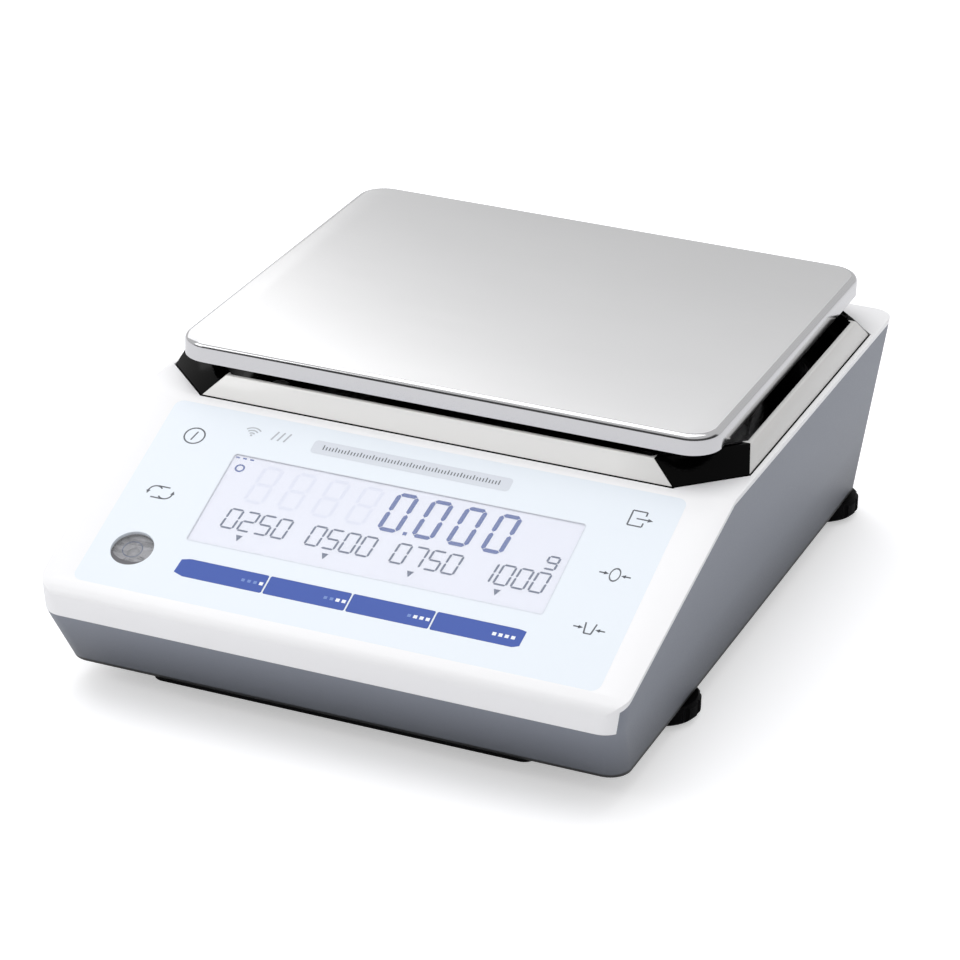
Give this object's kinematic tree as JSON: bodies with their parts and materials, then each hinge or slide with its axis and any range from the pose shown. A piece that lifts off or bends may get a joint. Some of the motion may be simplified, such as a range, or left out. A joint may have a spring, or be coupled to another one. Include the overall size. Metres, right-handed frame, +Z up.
{
  "type": "laboratory scale",
  "caption": "Table-top laboratory balance with a flat steel pan in a black well, a sloping key panel with a wide display, and levelling feet.",
  "frame": {"origin": "on the table under the middle of the width and depth", "axes": "+Z up, front with the key panel towards -Y, +X to the right seen from the front"},
  "size_m": [0.1988, 0.241, 0.088],
  "materials": {
    "white_shell": "smooth white moulding with a soft sheen",
    "grey_shell": "fine-grained cool grey moulding",
    "base_black": "plain black moulding",
    "tray_black": "glossy black moulding",
    "rail_white": "glossy pale moulding",
    "screw_steel": "plated steel",
    "pan_steel": "satin stainless steel",
    "steel": "plain steel",
    "cast_aluminium": "machined aluminium",
    "rubber": "black rubber",
    "overlay": "printed pale blue film with a light sheen",
    "blue_key": "printed blue film",
    "display_clear": "clear window",
    "display_pale": "pale display",
    "board_green": "circuit board",
    "black_plastic": "black plastic",
    "level_liquid": "tinted liquid in a clear cup",
    "level_air": "air bubble",
    "ribbon_grey": "flat cable",
    "brass": "threaded brass"
  },
  "bodies": {
    "housing": {"lower_housing": "grey_shell", "upper_housing": "white_shell", "base_plate": "base_black", "well_tray": "tray_black", "front_rail": "rail_white", "rear_rail": "rail_white", "left_rail": "rail_white", "right_rail": "rail_white", "housing_screws": "screw_steel", "weigh_cell": "cast_aluminium", "cell_plate": "steel", "cell_screws": "screw_steel", "sensor_lever": "cast_aluminium", "fork_sensor": "cast_aluminium", "panel_overlay": "overlay", "display_window": "display_clear", "display_glass": "display_pale", "backlight": "display_pale", "key_switches": "black_plastic", "display_board": "board_green", "board_screws": "screw_steel", "level_cup": "black_plastic", "level_lens": "display_clear", "level_vial": "level_liquid", "level_bubble": "level_air", "main_board": "board_green", "board_components": "black_plastic", "display_ribbon": "ribbon_grey", "cell_lead": "black_plastic", "port_plate": "black_plastic", "serial_connector": "steel", "jack_screws": "screw_steel", "supply_socket": "black_plastic", "hook_cover_screw": "screw_steel", "foot_inserts": "brass", "overload_spring": "steel"},
    "carrier": {"pan_support": "cast_aluminium", "pan_cushions": "rubber", "pan_post": "steel", "support_screw": "screw_steel", "weighing_hook": "steel"},
    "pan": {"weighing_pan": "pan_steel"},
    "hook_cover": {"hook_cover": "base_black"},
    "power_key": {"power_key": "overlay"},
    "mode_key": {"mode_key": "overlay"},
    "output_key": {"output_key": "overlay"},
    "zero_key": {"zero_key": "overlay"},
    "tare_key": {"tare_key": "overlay"},
    "soft_key_1": {"soft_key_1": "blue_key"},
    "soft_key_2": {"soft_key_2": "blue_key"},
    "soft_key_3": {"soft_key_3": "blue_key"},
    "soft_key_4": {"soft_key_4": "blue_key"},
    "pad_front_left": {"foot_pad_front_left": "rubber"},
    "knob_front_left": {"foot_knob_front_left": "base_black"},
    "pad_front_right": {"foot_pad_front_right": "rubber"},
    "knob_front_right": {"foot_knob_front_right": "base_black"},
    "pad_rear_left": {"foot_pad_rear_left": "rubber"},
    "knob_rear_left": {"foot_knob_rear_left": "base_black"},
    "pad_rear_right": {"foot_pad_rear_right": "rubber"},
    "knob_rear_right": {"foot_knob_rear_right": "base_black"}
  },
  "joints": [
    {"name": "carrier_press", "type": "slide", "parent": "housing", "child": "carrier", "axis": [0, 0, 1], "range_m": [-0.0008, 0], "stiffness_N_per_m": 15000, "springref_m": 0.001, "deforming": ["overload_spring"]},
    {"name": "pan_lift", "type": "slide", "parent": "carrier", "child": "pan", "axis": [0, 0, 1], "range_m": [0, 0.05]},
    {"name": "hook_cover_swing", "type": "hinge", "parent": "housing", "child": "hook_cover", "pos_m": [0, 0.0605, 0.0066], "axis": [0, 0, 1], "range_deg": [0, 100]},
    {"name": "power_key_press", "type": "slide", "parent": "housing", "child": "power_key", "axis": [0, 0.384, -0.9233], "range_m": [0, 0.0004], "stiffness_N_per_m": 1200, "springref_m": -0.0006},
    {"name": "mode_key_press", "type": "slide", "parent": "housing", "child": "mode_key", "axis": [0, 0.384, -0.9233], "range_m": [0, 0.0004], "stiffness_N_per_m": 1200, "springref_m": -0.0006},
    {"name": "output_key_press", "type": "slide", "parent": "housing", "child": "output_key", "axis": [0, 0.384, -0.9233], "range_m": [0, 0.0004], "stiffness_N_per_m": 1200, "springref_m": -0.0006},
    {"name": "zero_key_press", "type": "slide", "parent": "housing", "child": "zero_key", "axis": [0, 0.384, -0.9233], "range_m": [0, 0.0004], "stiffness_N_per_m": 1200, "springref_m": -0.0006},
    {"name": "tare_key_press", "type": "slide", "parent": "housing", "child": "tare_key", "axis": [0, 0.384, -0.9233], "range_m": [0, 0.0004], "stiffness_N_per_m": 1200, "springref_m": -0.0006},
    {"name": "soft_key_1_press", "type": "slide", "parent": "housing", "child": "soft_key_1", "axis": [0, 0.384, -0.9233], "range_m": [0, 0.0004], "stiffness_N_per_m": 1200, "springref_m": -0.0006},
    {"name": "soft_key_2_press", "type": "slide", "parent": "housing", "child": "soft_key_2", "axis": [0, 0.384, -0.9233], "range_m": [0, 0.0004], "stiffness_N_per_m": 1200, "springref_m": -0.0006},
    {"name": "soft_key_3_press", "type": "slide", "parent": "housing", "child": "soft_key_3", "axis": [0, 0.384, -0.9233], "range_m": [0, 0.0004], "stiffness_N_per_m": 1200, "springref_m": -0.0006},
    {"name": "soft_key_4_press", "type": "slide", "parent": "housing", "child": "soft_key_4", "axis": [0, 0.384, -0.9233], "range_m": [0, 0.0004], "stiffness_N_per_m": 1200, "springref_m": -0.0006},
    {"name": "foot_lift_front_left", "type": "slide", "parent": "housing", "child": "pad_front_left", "axis": [0, 0, 1], "range_m": [-0.003, 0.001]},
    {"name": "knob_turn_front_left", "type": "hinge", "parent": "pad_front_left", "child": "knob_front_left", "pos_m": [-0.082, -0.0495, 0.005], "axis": [0, 0, 1], "range_deg": [-1075, 355]},
    {"name": "foot_lift_front_right", "type": "slide", "parent": "housing", "child": "pad_front_right", "axis": [0, 0, 1], "range_m": [-0.003, 0.001]},
    {"name": "knob_turn_front_right", "type": "hinge", "parent": "pad_front_right", "child": "knob_front_right", "pos_m": [0.082, -0.0495, 0.005], "axis": [0, 0, 1], "range_deg": [-1075, 355]},
    {"name": "foot_lift_rear_left", "type": "slide", "parent": "housing", "child": "pad_rear_left", "axis": [0, 0, 1], "range_m": [-0.003, 0.001]},
    {"name": "knob_turn_rear_left", "type": "hinge", "parent": "pad_rear_left", "child": "knob_rear_left", "pos_m": [-0.082, 0.1065, 0.005], "axis": [0, 0, 1], "range_deg": [-1075, 355]},
    {"name": "foot_lift_rear_right", "type": "slide", "parent": "housing", "child": "pad_rear_right", "axis": [0, 0, 1], "range_m": [-0.003, 0.001]},
    {"name": "knob_turn_rear_right", "type": "hinge", "parent": "pad_rear_right", "child": "knob_rear_right", "pos_m": [0.082, 0.1065, 0.005], "axis": [0, 0, 1], "range_deg": [-1075, 355]}
  ],
  "couplings": [
    {"joint": "foot_lift_front_left", "follows": "knob_turn_front_left", "m_per_rad": 0.00015915},
    {"joint": "foot_lift_front_right", "follows": "knob_turn_front_right", "m_per_rad": 0.00015915},
    {"joint": "foot_lift_rear_left", "follows": "knob_turn_rear_left", "m_per_rad": 0.00015915},
    {"joint": "foot_lift_rear_right", "follows": "knob_turn_rear_right", "m_per_rad": 0.00015915}
  ]
}
